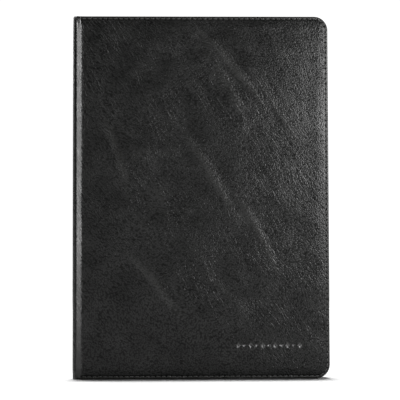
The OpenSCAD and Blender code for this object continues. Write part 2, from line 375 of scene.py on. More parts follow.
# %% Finish helpers
class Finish:
    """A material with its main shader, and short ways to add nodes in front of it."""

    def __init__(self, name, **constants):
        self.material = bpy.data.materials.new(name)
        self.material.use_nodes = True
        self.tree = self.material.node_tree
        self.shader = self.tree.nodes["Principled BSDF"]
        for key, value in constants.items():
            self.shader.inputs[key.replace("_", " ")].default_value = value

    def join(self, socket, value):
        """Gives a socket a number, a colour or another node's output."""
        if isinstance(value, bpy.types.NodeSocket):
            self.tree.links.new(value, socket)
        else:
            socket.default_value = value

    def add(self, kind, inputs=(), out=0, **choices):
        """One node; inputs are (socket, value) pairs, choices its own settings. Gives its output."""
        node = self.tree.nodes.new("ShaderNode" + kind)
        for key, value in choices.items():
            setattr(node, key, value)
        for key, value in inputs:
            self.join(node.inputs[key], value)
        return node.outputs[out]

    def sheet_place(self):
        """Each point's place on the flat sheet, which stays with the skin when it bends."""
        return self.mark("sheet_place", "Vector")

    def own_place(self):
        """Each point's place in the piece's own coordinates."""
        return self.add("TexCoord", out="Object")

    def noise(self, place, scale, detail=2.0, roughness=0.5):
        """Noise from 0 to 1, with so many bumps to the metre."""
        pairs = (("Vector", place), ("Scale", scale), ("Detail", detail), ("Roughness", roughness))
        return self.add("TexNoise", pairs)

    def math(self, what, a, b=0.0):
        """Arithmetic on two values."""
        return self.add("Math", ((0, a), (1, b)), operation=what)

    def times(self, a, b):
        """The first value times the second."""
        return self.math("MULTIPLY", a, b)

    def plus(self, a, b):
        """The first value plus the second."""
        return self.math("ADD", a, b)

    def less(self, a, b):
        """The first value less the second."""
        return self.math("SUBTRACT", a, b)

    def mark(self, name, out="Fac"):
        """A value that the mesh keeps at each point."""
        return self.add("Attribute", out=out, attribute_name=name)

    def spread(self, value, low, high, to_low=0.0, to_high=1.0):
        """Stretches low..high to to_low..to_high, clamped, with soft ends."""
        pairs = [("Value", value), ("From Min", low), ("From Max", high)]
        pairs += [("To Min", to_low), ("To Max", to_high)]
        return self.add("MapRange", pairs, interpolation_type="SMOOTHSTEP")

    def blend_colours(self, factor, first, second):
        """First colour at factor 0, second at 1."""
        pairs = ((0, factor), (6, (*first, 1) if isinstance(first, tuple) else first), (7, (*second, 1)))
        return self.add("Mix", pairs, out=2, data_type="RGBA")

    def turned(self, place, angle, sizes):
        """The place turned about its third axis, then measured in units of the given sizes, in metres,
        so that a noise of scale 1 has blots as long, wide and deep as that."""
        pairs = (("Vector", place), ("Rotation", (0, 0, angle)), ("Scale", sizes))
        return self.add("Mapping", pairs, vector_type="TEXTURE")

    def pushed(self, place, scale, reach):
        """The place moved by up to reach each way, by a noise with so many bumps to the metre."""
        push = self.add("TexNoise", (("Vector", place), ("Scale", scale), ("Detail", 2.0)), out="Color")
        push = self.add("VectorMath", ((0, push), (1, (0.5, 0.5, 0.5))), operation="SUBTRACT")
        push = self.add("VectorMath", ((0, push), ("Scale", 2 * reach)), operation="SCALE")
        return self.add("VectorMath", ((0, place), (1, push)), operation="ADD")

    def relief(self, height, depth, under=None):
        """Bump: height 1 stands depth metres above height 0, over another bump if there is one."""
        pairs = [("Height", height), ("Distance", depth), ("Strength", 1.0)]
        if under is not None:
            pairs.append(("Normal", under))
        return self.add("Bump", pairs)

    def done(self, colour, roughness, normal=None):
        """Joins colour, roughness and relief to the shader and gives the material."""
        self.join(self.shader.inputs["Base Color"], colour)
        self.join(self.shader.inputs["Roughness"], roughness)
        if normal is not None:
            self.join(self.shader.inputs["Normal"], normal)
        print("finish:", self.material.name)
        return self.material


# %% [markdown]
# ### Black leather
# Finished cowhide has a pebbled grain of cells about a millimetre across, finer pores between them,
# and long soft creases that swirl with the hide. The cells come from a Voronoi texture, read as low
# domes, and noise shifts them so that no two are alike. The creases come from a stretched noise on
# places that a slow noise has first pushed about, which is what makes them swirl.

# %% Grain and creases of the leather
GRAIN_SIZES = (1.25 * MM, 0.9 * MM, 1.1 * MM)
GRAIN_DEPTH = 0.18 * MM
DOME_FLOOR = 0.8
CREASE_SIZES = (22 * MM, 5.0 * MM, 22 * MM)
CREASE_DEPTH = 0.075 * MM
HIDE_RUN = math.radians(-58)
SWIRL_REACH = 11 * MM
WANDER_REACH = 0.5 * MM

leather = Finish("black_leather")
skin_place = leather.sheet_place()
swirl_place = leather.pushed(skin_place, 16.0, SWIRL_REACH)
wandered = leather.pushed(swirl_place, 300.0, WANDER_REACH)
grain_place = leather.turned(wandered, HIDE_RUN, GRAIN_SIZES)
cells = leather.add("TexVoronoi", (("Vector", grain_place), ("Scale", 1.0)), feature="F1")
dome = leather.less(1.0, leather.math("MINIMUM", leather.times(cells, cells), DOME_FLOOR))
pores = leather.noise(skin_place, 3000.0, 2.0)
grain = leather.plus(leather.times(dome, 0.85), leather.times(pores, 0.2))
crease_place = leather.turned(swirl_place, HIDE_RUN, CREASE_SIZES)
fold_noise = leather.noise(crease_place, 1.0, 3.0, 0.6)
fold_line = leather.spread(leather.math("ABSOLUTE", leather.less(fold_noise, 0.5)), 0.0, 0.1)
fold_where = leather.spread(leather.noise(skin_place, 24.0), 0.35, 0.62, 0.15, 1.0)
creases = leather.times(leather.less(1.0, fold_line), fold_where)

# %% [markdown]
# The mesh keeps three values at each point: where hands have worn the leather, which on the front
# also carries a painted sheen along the tops of the long creases, where it is pulled tight over the
# spine's corner, and where the ornament is pressed. The needle holes are drawn from the distance
# along the seam: the nearest whole stitch is a hole, and it fades over a short ring. Each hole is
# painted near black, as painted shade inside it.

# %% Wear, painted sheen and needle holes of the leather
HOLE_DEPTH = 0.35 * MM
HOLE_FADE = (0.25 * MM, 0.6 * MM)
rubbed = leather.mark("rubbed")
pulled = leather.mark("pulled")
pressed = leather.mark("pressed")
seam_parts = leather.tree.nodes.new("ShaderNodeSeparateXYZ")
leather.join(seam_parts.inputs[0], leather.mark("seam", "Vector"))
along_seam, across_seam, sewn_here = seam_parts.outputs
to_hole = leather.times(leather.math("PINGPONG", along_seam, 0.5), STITCH_PITCH)
to_hole = leather.add("CombineXYZ", ((0, to_hole), (1, across_seam)))
to_hole = leather.add("VectorMath", ((0, to_hole),), out="Value", operation="LENGTH")
hole = leather.times(leather.spread(to_hole, *HOLE_FADE, 1.0, 0.0), sewn_here)

# %% [markdown]
# Black leather is very dark, and what the eye reads as its grain is mostly gloss: each dome catches
# the light and each valley loses it. So the domes set how strongly the surface mirrors as well as
# its relief, and they are painted a little lighter than the valleys, as painted shade in the valleys.
# The worn rim is a touch lighter and glossier; the tops of the long creases are lighter and glossier
# too, as a painted sheen.

# %% Colour and gloss of the leather
HIDE_DARK = (0.0016, 0.0017, 0.0016)
HIDE_LIGHT = (0.0034, 0.0035, 0.0033)
# the grain's domes are painted lighter than its valleys: painted shade in the valleys
DOME_PAINTED_LIGHT = (0.006, 0.0061, 0.0058)
# lighter on the rim from wear, and on the tops of the long creases as a painted sheen
RUBBED_AND_SHEEN_COLOUR = (0.014, 0.014, 0.013)
PRESSED_COLOUR = (0.001, 0.001, 0.001)
# near black in each needle hole: painted shade inside the hole
HOLE_SHADE_COLOUR = (0.0005, 0.0005, 0.0005)
VALLEY_GLOSS, DOME_GLOSS = 0.12, 0.34
SMOOTHEST = 0.9

tone = leather.spread(leather.noise(skin_place, 60.0, 4.0), 0.3, 0.7)
hide_colour = leather.blend_colours(tone, HIDE_DARK, HIDE_LIGHT)
for amount, colour in (
    (leather.times(dome, 0.3), DOME_PAINTED_LIGHT),
    (leather.times(rubbed, 0.5), RUBBED_AND_SHEEN_COLOUR),
    (leather.times(pressed, 0.7), PRESSED_COLOUR),
    (hole, HOLE_SHADE_COLOUR),
):
    hide_colour = leather.blend_colours(amount, hide_colour, colour)
rough = leather.spread(leather.noise(skin_place, 95.0, 3.0), 0.25, 0.75, 0.26, 0.34)
rough = leather.plus(rough, leather.times(creases, 0.05))
rough = leather.less(rough, leather.times(pulled, 0.1))
rough = leather.plus(rough, leather.times(hole, 0.6))
smooth = leather.times(leather.math("MAXIMUM", pulled, pressed), SMOOTHEST)
grain_left = leather.less(1.0, smooth)
gloss = leather.math("MAXIMUM", dome, leather.less(1.0, grain_left))
gloss = leather.spread(gloss, 0.45, 0.95, VALLEY_GLOSS, DOME_GLOSS)
gloss_clouds = leather.spread(leather.noise(swirl_place, 30.0, 3.0), 0.3, 0.7, 0.82, 1.1)
gloss = leather.times(gloss, gloss_clouds)
gloss = leather.plus(gloss, leather.times(pressed, 0.4))
gloss = leather.plus(gloss, leather.times(rubbed, 0.12))
leather.join(leather.shader.inputs["Specular IOR Level"], gloss)
fold_height = leather.times(leather.less(1.0, creases), grain_left)
fold_relief = leather.relief(fold_height, CREASE_DEPTH)
hole_relief = leather.relief(leather.less(1.0, hole), HOLE_DEPTH, fold_relief)
grain_relief = leather.relief(leather.times(grain, grain_left), GRAIN_DEPTH, hole_relief)
black_leather = leather.done(hide_colour, rough, grain_relief)

# %% [markdown]
# ### Thread, suede and foam
# Bonded thread is two or three twisted strands, so a fine diagonal wave runs over each stitch.
# Microsuede is a dense nap: almost no gloss, a soft sheen at grazing angles, and cloudy patches
# where the nap lies another way. The foam is open cells, their hollows painted darker as painted
# shade, hidden in the closed case.

# %% Thread, suede and foam
TWIST_DEPTH = 0.03 * MM
NAP_DEPTH = 0.05 * MM
FOAM_CELL_DEPTH = 0.1 * MM

thread = Finish("bonded_thread", Sheen_Weight=0.15, Sheen_Roughness=0.4)
thread_place = thread.own_place()
twist_inputs = (("Vector", thread_place), ("Scale", 420.0), ("Distortion", 1.0))
twist = thread.add("TexWave", twist_inputs, out="Fac", bands_direction="DIAGONAL")
thread_tone = thread.noise(thread_place, 180.0)
thread_colour = thread.blend_colours(thread_tone, (0.012, 0.012, 0.012), (0.024, 0.024, 0.022))
thread_rough = thread.spread(twist, 0.0, 1.0, 0.38, 0.52)
black_thread = thread.done(thread_colour, thread_rough, thread.relief(twist, TWIST_DEPTH))

suede = Finish("charcoal_suede", Sheen_Weight=0.35, Sheen_Roughness=0.45, Specular_IOR_Level=0.2)
suede_place = suede.sheet_place()
nap = suede.noise(suede_place, 5200.0, 3.0, 0.7)
clouds = suede.noise(suede_place, 38.0, 3.0, 0.6)
suede_tone = suede.spread(clouds, 0.35, 0.65)
suede_colour = suede.blend_colours(suede_tone, (0.018, 0.019, 0.021), (0.031, 0.032, 0.035))
suede_colour = suede.blend_colours(suede.times(nap, 0.35), suede_colour, (0.06, 0.062, 0.066))
suede_rough = suede.spread(clouds, 0.2, 0.8, 0.85, 0.95)
charcoal_suede = suede.done(suede_colour, suede_rough, suede.relief(nap, NAP_DEPTH))

foam = Finish("grey_foam", Specular_IOR_Level=0.2)
foam_place = foam.sheet_place()
cell_inputs = (("Vector", foam_place), ("Scale", 2600.0))
foam_cells = foam.add("TexVoronoi", cell_inputs, feature="DISTANCE_TO_EDGE")
foam_walls = foam.spread(foam_cells, 0.0, 0.2)
# the hollows inside the cells are painted darker than their walls: painted shade in the pores
foam_colour = foam.blend_colours(foam_walls, (0.09, 0.09, 0.092), (0.045, 0.045, 0.047))
foam_rough = foam.spread(foam_walls, 0.0, 1.0, 0.8, 0.95)
grey_foam = foam.done(foam_colour, foam_rough, foam.relief(foam_walls, -FOAM_CELL_DEPTH))

# %% [markdown]
# ### Plastic, board, metal and glue
# The tray is moulded with a spark-eroded texture, fine and even, that hides scratches. The camera
# ring is smoother. Bookbinder's board, here dyed dark grey, shows fibres that lie mostly one way.
# The magnets are nickel plated, with rings left by the turning, and the adhesive sheet is slightly
# wavy.

# %% Plastic, board, metal and glue
def plastic_finish(name, colour, rough, texture, depth):
    """A moulded plastic: even colour with slow drift, and a fine texture of so many grains a metre."""
    finish = Finish(name)
    at = finish.own_place()
    drift = finish.noise(at, 30.0)
    eroded = finish.noise(at, texture, 3.0, 0.65)
    lighter = tuple(c * 1.5 for c in colour)
    tint = finish.blend_colours(finish.times(drift, eroded), colour, lighter)
    roughness = finish.spread(drift, 0.2, 0.8, rough - 0.05, rough + 0.05)
    return finish.done(tint, roughness, finish.relief(eroded, depth))


tray_plastic = plastic_finish("tray_plastic", (0.012, 0.0125, 0.013), 0.5, 2600.0, 0.04 * MM)
ring_plastic = plastic_finish("ring_plastic", (0.008, 0.008, 0.009), 0.32, 1500.0, 0.008 * MM)

felt = Finish("pad_microfibre", Sheen_Weight=0.4, Sheen_Roughness=0.5, Specular_IOR_Level=0.15)
felt_place = felt.own_place()
pile = felt.noise(felt_place, 4200.0, 3.0, 0.75)
felt_drift = felt.noise(felt_place, 26.0, 3.0)
felt_tone = felt.spread(felt_drift, 0.3, 0.7)
felt_colour = felt.blend_colours(felt_tone, (0.035, 0.037, 0.04), (0.052, 0.054, 0.058))
felt_colour = felt.blend_colours(felt.times(pile, 0.4), felt_colour, (0.1, 0.1, 0.105))
felt_rough = felt.spread(felt_drift, 0.2, 0.8, 0.86, 0.96)
pad_microfibre = felt.done(felt_colour, felt_rough, felt.relief(pile, 0.06 * MM))

board = Finish("fibre_board", Specular_IOR_Level=0.3)
board_place = board.own_place()
fibres = board.noise(board.turned(board_place, 0.0, (3 * MM, 3 * MM, 0.4 * MM)), 1.0, 3.0, 0.7)
flecks = board.spread(board.noise(board_place, 700.0, 2.0), 0.62, 0.7)
board_colour = board.blend_colours(fibres, (0.05, 0.047, 0.044), (0.085, 0.08, 0.074))
board_colour = board.blend_colours(board.times(flecks, 0.6), board_colour, (0.03, 0.028, 0.026))
board_rough = board.spread(fibres, 0.2, 0.8, 0.8, 0.92)
fibre_board = board.done(board_colour, board_rough, board.relief(fibres, 0.04 * MM))

nickel = Finish("plated_nickel", Metallic=1.0)
nickel_place = nickel.turned(nickel.own_place(), 0.0, (5 * MM, 0.25 * MM, 0.25 * MM))
turning = nickel.add("TexNoise", (("Vector", nickel_place), ("Scale", 1.0)))
nickel_colour = nickel.blend_colours(turning, (0.5, 0.5, 0.49), (0.66, 0.65, 0.63))
nickel_rough = nickel.spread(turning, 0.3, 0.7, 0.2, 0.32)
plated_nickel = nickel.done(nickel_colour, nickel_rough, nickel.relief(turning, 0.004 * MM))

glue = Finish("adhesive_sheet", Specular_IOR_Level=0.5)
glue_place = glue.own_place()
ripples = glue.noise(glue_place, 160.0, 2.0)
glue_colour = glue.blend_colours(ripples, (0.62, 0.61, 0.57), (0.75, 0.74, 0.7))
glue_rough = glue.spread(ripples, 0.3, 0.7, 0.3, 0.45)
adhesive_sheet = glue.done(glue_colour, glue_rough, glue.relief(ripples, 0.05 * MM))

# %% [markdown]
# ## One leather sheet, front and back
# A box with rounded edges would do for a hard part, but leather turns over its edge and comes back
# on the inside. Here the face is a grid that stops 5 mm inside the edge, and a strip carries the
# edge's profile round it: over the seam, round the rim, and in over the turned-in border. The
# strip's first ring is the grid's own outer points, so the two are one skin.

# %% Columns and rows of a cover
STRIP_W = 5.2 * MM
CORNER_STEPS = 12
GRID_STEP = 1.9 * MM
MARK_COLUMN_STEP = 0.54 * MM
MARK_ROW_STEP = 0.36 * MM
NEAR_SPINE = 20 * MM


def sheet_columns(side):
    """Places of the grid's columns, closer together at the spine's corner and under the ornament."""
    free = sheet_w - COVER_R
    start, end = mark_s - MARK_W / 2 - MM, mark_s + MARK_W / 2 + MM
    spine = [
        (0, spine_flat, 0.7 * MM),
        (spine_flat, corner_end, 0.4 * MM),
        (corner_end, NEAR_SPINE, 0.9 * MM),
    ]
    if side > 0:
        return spaced(*spine, (NEAR_SPINE, free, GRID_STEP))
    ornament = (start, end, MARK_COLUMN_STEP)
    return spaced(*spine, (NEAR_SPINE, start, GRID_STEP), ornament, (end, free, GRID_STEP))


def sheet_rows(side):
    """Heights of the grid's rows between the free corners, closer together under the ornament."""
    low, high = COVER_R, case_h - COVER_R
    start, end = mark_z - MARK_H / 2 - MM, mark_z + MARK_H / 2 + MM
    if side > 0:
        return spaced((low, high, GRID_STEP))
    return spaced((low, start, GRID_STEP), (start, end, MARK_ROW_STEP), (end, high, GRID_STEP))


def outline(columns, rows):
    """The sheet's outer edge and its inward normals: along the tail, round the free corner, up the
    free edge, round the next corner and back along the head. A corner is a quarter circle."""
    turn = np.linspace(0, math.pi / 2, CORNER_STEPS + 1)[1:]
    low_out = np.stack([np.sin(turn), -np.cos(turn)], -1)
    high_out = np.stack([np.cos(turn), np.sin(turn)], -1)
    free = sheet_w - COVER_R
    back = columns[-2::-1]
    parts = [
        (np.stack([columns, 0 * columns], -1), np.tile([0.0, 1.0], (len(columns), 1))),
        (np.array([free, COVER_R]) + COVER_R * low_out, -low_out),
        (np.stack([0 * rows[1:] + sheet_w, rows[1:]], -1), np.tile([-1.0, 0.0], (len(rows) - 1, 1))),
        (np.array([free, case_h - COVER_R]) + COVER_R * high_out, -high_out),
        (np.stack([back, 0 * back + case_h], -1), np.tile([0.0, -1.0], (len(back), 1))),
    ]
    return np.vstack([points for points, _ in parts]), np.vstack([normals for _, normals in parts])


def cover_grid(columns, rows, base, inward):
    """Places s and z of the face's grid. Columns stay put, but the last ones are pulled over to the
    outline, by a smooth share of the gap, so that the grid's free side follows the round corners."""
    first = len(columns) - 1
    free_side = (base + inward * STRIP_W)[first:first + len(rows) + 2 * CORNER_STEPS]
    corner_rows = np.linspace(STRIP_W, COVER_R, CORNER_STEPS + 1)[:-1]
    spine_side = np.concatenate([corner_rows, rows, case_h - corner_rows[::-1]])
    pull = ramp(columns, columns[-1] - 14 * MM, columns[-1])
    s = columns + pull * (free_side[:, :1] - columns[-1])
    z = spine_side[:, None] + pull * (free_side[:, 1:] - spine_side[:, None])
    return s, z


# %% [markdown]
# The back cover has a round window for the camera. A Boolean would leave long thin faces there, so
# the grid opens on a block of its own cells, and rings run from that block to the circle.

# %% Opening for the camera window
HOLE_REACH = 13 * MM
HOLE_SHARES = np.array([0.25, 0.5, 0.7, 0.84, 0.92, 0.97, 1.0])[:, None]
ring_low, ring_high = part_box("camera_ring")
ring_r = (ring_high.x - ring_low.x) / 2
hole_x = (ring_low.x + ring_high.x) / 2
hole_s = hole_x - cad_low.x - SPINE_R + corner_end
hole_z = (ring_low.z + ring_high.z) / 2
hole_r = ring_r + LINING_GAP


def nearest(values, wanted):
    """Index of the value closest to the wanted one."""
    return int(np.argmin(np.abs(values - wanted)))


def round_block(index, low, high, left, right):
    """Indices once round a block of the grid, turning the way the grid's faces do."""
    return np.concatenate([
        index[low, left:right],
        index[low:high, right],
        index[high, right:left:-1],
        index[high:low:-1, left],
    ])


def patch(s, z, opened=False):
    """A grid's places, faces and edge loops. When opened, a block round the camera window closes
    down to a circle: each ring lies a share of the way from the block to the circle at its angle."""
    index = np.arange(s.size).reshape(s.shape)
    loops = [round_block(index, 0, s.shape[0] - 1, 0, s.shape[1] - 1)]
    if not opened:
        return s.ravel(), z.ravel(), grid_faces(index), loops
    row = nearest(z[:, s.shape[1] // 2], hole_z)
    left, right = (nearest(s[row], hole_s + reach) for reach in (-HOLE_REACH, HOLE_REACH))
    low, high = (nearest(z[:, left], hole_z + reach) for reach in (-HOLE_REACH, HOLE_REACH))
    keep = np.ones((s.shape[0] - 1, s.shape[1] - 1), bool)
    keep[low:high, left:right] = False
    block = round_block(index, low, high, left, right)
    block_s, block_z = s.ravel()[block], z.ravel()[block]
    angle = np.arctan2(block_z - hole_z, block_s - hole_s)
    ring_s = block_s + HOLE_SHARES * (hole_s + hole_r * np.cos(angle) - block_s)
    ring_z = block_z + HOLE_SHARES * (hole_z + hole_r * np.sin(angle) - block_z)
    rings = np.vstack([block, s.size + np.arange(ring_s.size).reshape(ring_s.shape)])
    faces = np.vstack([grid_faces(index)[keep.ravel()], grid_faces(np.hstack([rings, rings[:, :1]]))])
    all_s = np.concatenate([s.ravel(), ring_s.ravel()])
    all_z = np.concatenate([z.ravel(), ring_z.ravel()])
    return all_s, all_z, faces, [*loops, rings[-1][::-1]]


# %% [markdown]
# The edge's profile is a list of rings. Each ring says how far it lies inside the outline and how
# deep it lies under the face. A rim turned over a board isn't a sharp fold: the outside is a
# quarter circle of about a millimetre, and the inside one is tighter.

# %% Edge profile
RIM_R = 1.1 * MM
INNER_RIM_R = 0.8 * MM
BORDER_LIP = 0.35 * MM
FACE_INSETS = (4.4, 3.6, 3.0, 2.6, 2.3, 2.05, 1.8, 1.55, 1.3)
BORDER_INSETS = (1.15, 1.45, 1.8, 2.15, 2.5, 3.6, 6.2, 8.6)


def edge_rings(s, z, cover_t, side):
    """Insets and depths of the strip's rings. The outer rim is inset R(1 - sin) and depth R(1 - cos)
    over a quarter turn, the inner rim is the same turned round, and the border is at the inside."""
    inner = inner_depth(s, cover_t)
    rim = np.minimum(RIM_R, inner * 0.45)
    inner_rim = np.minimum(INNER_RIM_R, inner * 0.4)
    start = face_depth(s, z, 0 * s + RIM_R, side)
    rings = [(0 * s + inset * MM, None) for inset in FACE_INSETS]
    for turn in np.linspace(0, math.pi / 2, 6)[1:]:
        rings.append((rim * (1 - math.sin(turn)), start + rim * (1 - math.cos(turn))))
    for turn in np.linspace(0, math.pi / 2, 5):
        rings.append((inner_rim * (1 - math.cos(turn)), inner - inner_rim * (1 - math.sin(turn))))
    for inset in BORDER_INSETS:
        groove = 0.15 * MM * bell(inset * MM, SEAM_INSET, 0.45 * MM)
        rings.append((0 * s + inset * MM, inner - groove * ramp(s, corner_end, corner_end + 2 * MM)))
    end = 0 * s + leather_t + TURN_IN
    rings.append((end - 0.12 * MM, inner - 0.03 * MM))
    rings.append((end, inner - BORDER_LIP))
    return rings


# %% [markdown]
# The seam runs along the tail, round the free side and back along the head. Its needle holes are too
# small for the mesh, so each point of the strip keeps how far along the seam it is, and the leather's
# finish draws the holes from that.

# %% Seam line
seam_r = COVER_R - SEAM_INSET
seam_start = corner_end + 0.3 * MM
seam_side = sheet_w - COVER_R - seam_start
seam_arc = seam_r * math.pi / 2
seam_up = case_h - 2 * COVER_R
seam_total = 2 * seam_side + 2 * seam_arc + seam_up
stitch_count = int(seam_total / STITCH_PITCH)
print(stitch_count, "stitches along", mm(seam_total), "mm of seam")


def seam_phase(base, inward):
    """Stitches passed at each point of the outline: the running sum of the steps along the seam's
    own line, from where the seam starts, over the pitch."""
    line = base + inward * SEAM_INSET
    run = np.append(0, np.cumsum(np.hypot(*np.diff(line, axis=0).T))) - seam_start
    return run * stitch_count / seam_total


# %% [markdown]
# Now the sheet itself. Solidify turns the skin into leather of real thickness. A point weight makes
# it thinner where a worker skives it: in the gutter, where the case folds, and on the border.

# %% Leather sheets
SKIVED_GUTTER = 0.4
SKIVED_BORDER = 0.52
THINNEST = 0.25
SOLID_SHARE = 0.95
BORDER_SPAN = (0.5, 0.9)


def give_thickness(piece, s, depth, cover_t):
    """Solidify to the leather's thickness, times a weight that falls in the gutter and on the border."""
    gutter = ramp(s, spine_flat, spine_flat + 2 * MM) * (1 - ramp(s, corner_end - MM, corner_end + MM))
    border = ramp(depth / inner_depth(s, cover_t), *BORDER_SPAN)
    weight = np.round(np.clip(1 - SKIVED_GUTTER * gutter - SKIVED_BORDER * border, THINNEST, 1), 2)
    group = piece.vertex_groups.new(name="thickness")
    for level in np.unique(weight):
        group.add(np.flatnonzero(weight == level).tolist(), float(level), "REPLACE")
    solid = piece.modifiers.new("thickness", "SOLIDIFY")
    solid.thickness = leather_t * SOLID_SHARE
    solid.offset = -1
    solid.vertex_group = group.name
    solid.thickness_vertex_group = 0


def leather_sheet(name, side, cover_t, material):
    """One cover's leather with its half of the spine's: face grid, edge strip and camera opening."""
    columns, rows = sheet_columns(side), sheet_rows(side)
    base, inward = outline(columns, rows)
    s, z = cover_grid(columns, rows, base, inward)
    flat_s, flat_z, face_quads, _ = patch(s, z, opened=side > 0)
    inset = edge_distance(flat_s, flat_z)
    depth = face_depth(flat_s, flat_z, inset, side)
    index = np.arange(s.size).reshape(s.shape)
    rings = [np.concatenate([index[0], index[1:, -1], index[-1, -2::-1]])]
    parts = [(flat_s, flat_z, depth, inset, 0 * flat_s - 1)]
    count = len(flat_s)
    phase = seam_phase(base, inward)
    for ring_inset, ring_depth in edge_rings(base[:, 0], base[:, 1], cover_t, side):
        at = base + inward * ring_inset[:, None]
        if ring_depth is None:
            ring_depth = face_depth(at[:, 0], at[:, 1], ring_inset, side)
        parts.append((at[:, 0], at[:, 1], ring_depth, ring_inset, phase))
        rings.append(count + np.arange(len(base)))
        count += len(base)
    s, z, depth, inset, phase = (np.concatenate(column) for column in zip(*parts))
    faces = np.vstack([face_quads, grid_faces(np.array(rings))[:, ::-1]])
    outside = 1 - ramp(depth / inner_depth(s, cover_t), *BORDER_SPAN)
    sewn = ((phase > -0.2) & (phase < stitch_count + 0.2)) * ramp(inset, 4 * MM, 3 * MM)
    pulled = ramp(s, corner_end - 5 * MM, corner_end - 3 * MM)
    pulled = pulled * (1 - ramp(s, corner_end, corner_end + 1.5 * MM))
    rubbed = bell(inset, 0.4 * MM, 0.8 * MM)
    if side < 0:
        # on the front the tops of the long creases are painted lighter and glossier too: a painted sheen
        # along each crease
        rubbed = np.maximum(rubbed, CREASE_PAINTED_SHEEN * long_creases(s, z))
    piece = make_piece(
        name,
        place(s, z, depth, side),
        faces if side < 0 else faces[:, ::-1],
        material,
        sheet_place=np.stack([-side * s, z, depth], -1),
        rubbed=rubbed * outside,
        pulled=pulled,
        pressed=lozenges(s, z) * outside if side < 0 else 0 * s,
        seam=np.stack([phase, inset - SEAM_INSET, sewn], -1),
    )
    give_thickness(piece, s, depth, cover_t)
    return piece


front_skin = leather_sheet("front_cover_leather", -1, front_t, black_leather)
back_skin = leather_sheet("back_cover_leather", 1, back_t, black_leather)


def bend_at_spine(piece):
    """Bakes the piece's place into its points; nothing here makes it turn with the spine or its cover."""
    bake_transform(piece)


bend_at_spine(front_skin)
bend_at_spine(back_skin)
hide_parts("front_leather", "spine_leather")
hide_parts("back_leather", "spine_leather")

# %% [markdown]
# ## Padding and lining
# A thin foam lies between the board and the front leather. It gives the cover its soft, slightly
# crowned face, so its upper side follows the leather and its lower side lies on the board. The
# lining is a microsuede sheet glued over the inside, up to the turned-in border. Both are closed
# slabs over the same flat places, so they always agree with the leather.

# %% Closed slabs over the sheet
def rounded_patch(columns, inset, step):
    """A grid with a margin inside the cover. Its end rows follow quarter circles, which pull the
    last columns in, so that the free corners are round."""
    radius = max(COVER_R - inset, 0.8 * MM)
    turn = np.linspace(0, math.pi / 2, 8)[:-1]
    end_z = inset + radius * (1 - np.cos(turn))
    end_s = columns[-1] - radius * (1 - np.sin(turn))
    between = spaced((inset + radius, case_h - inset - radius, step))
    z = np.concatenate([end_z, between, case_h - end_z[::-1]])
    free_side = np.concatenate([end_s, 0 * between + columns[-1], end_s[::-1]])
    pull = ramp(columns, columns[-1] - radius - 10 * MM, columns[-1])
    s = columns + pull * (free_side[:, None] - columns[-1])
    return s, np.repeat(z[:, None], len(columns), 1)


def sheet_slab(name, flat, outer, inner, side, material):
    """A closed slab between two depths of the sheet: both faces, and walls along every edge loop."""
    s, z, quads, loops = flat
    count = len(s)
    faces = [quads, quads[:, ::-1] + count]
    for loop in loops:
        around = np.append(loop, loop[0])
        faces.append(grid_faces(np.array([around, around + count]))[:, ::-1])
    faces = np.vstack(faces)
    both_s, both_z, depth = np.tile(s, 2), np.tile(z, 2), np.concatenate([outer, inner])
    return make_piece(
        name,
        place(both_s, both_z, depth, side),
        faces if side < 0 else faces[:, ::-1],
        material,
        sheet_place=np.stack([-side * both_s, both_z, depth], -1),
    )


# %% Foam padding
FOAM_INSET = 2.8 * MM
foam_columns = spaced((corner_end + 1 * MM, sheet_w - FOAM_INSET, 1.8 * MM))
foam_flat = patch(*rounded_patch(foam_columns, FOAM_INSET, 1.8 * MM))
foam_top = face_depth(foam_flat[0], foam_flat[1], edge_distance(foam_flat[0], foam_flat[1]), -1) + leather_t
foam_top = np.minimum(foam_top, board_depth - 0.05 * MM)
padding = sheet_slab("front_padding_foam", foam_flat, foam_top, 0 * foam_top + board_depth, -1, grey_foam)
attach(padding, "front_cover")
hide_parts("front_padding")

# %% Suede linings
LINING_INSET = leather_t + TURN_IN + LINING_GAP
LINING_T = 0.42 * MM
MAGNET_RISE = 0.07 * MM
magnet_low, magnet_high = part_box("front_magnets")
magnet_x = (magnet_low.x + magnet_high.x) / 2
magnet_r = (magnet_high.x - magnet_low.x) / 2
magnet_s = magnet_x - cad_low.x - SPINE_R + corner_end
magnet_heights = (magnet_low.z + magnet_r, middle.z, magnet_high.z - magnet_r)


def lining(name, side, cover_t):
    """The suede of one cover and its half of the spine, with soft rises over the magnets."""
    columns = spaced(
        (0, spine_flat, 0.8 * MM),
        (spine_flat, corner_end + 2 * MM, 0.6 * MM),
        (corner_end + 2 * MM, sheet_w - LINING_INSET, 2 * MM),
    )
    flat = patch(*rounded_patch(columns, LINING_INSET, 2 * MM), opened=side > 0)
    s, z = flat[0], flat[1]
    inner = inner_depth(s, cover_t)
    for height in magnet_heights if side < 0 else ():
        away_from = np.hypot(s - magnet_s, z - height)
        inner = inner + MAGNET_RISE * (1 - ramp(away_from, magnet_r - MM, magnet_r + MM))
    piece = sheet_slab(name, flat, inner_depth(s, cover_t) - LINING_T, inner, side, charcoal_suede)
    bend_at_spine(piece)
    return piece


front_lining = lining("front_lining_suede", -1, front_t)
back_lining = lining("back_lining_suede", 1, back_t)
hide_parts("front_lining", "spine_lining")
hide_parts("back_lining", "spine_lining")

# %% [markdown]
# The two leather pieces are sheets as well. Each was cut flat with its border, so its flat size is
# what shows plus the rim and the border, which together add the cover's thickness and the turn-in.

# %% Flat size of the leather
def cut_size(cover_t):
    """Width and length of the flat leather: the outside, one rim and border across, two along."""
    turned = cover_t + leather_t + TURN_IN
    return sheet_w + turned, case_h + 2 * turned


print("front leather is cut to", mm(*cut_size(front_t)), "mm, back", mm(*cut_size(back_t)), "mm")

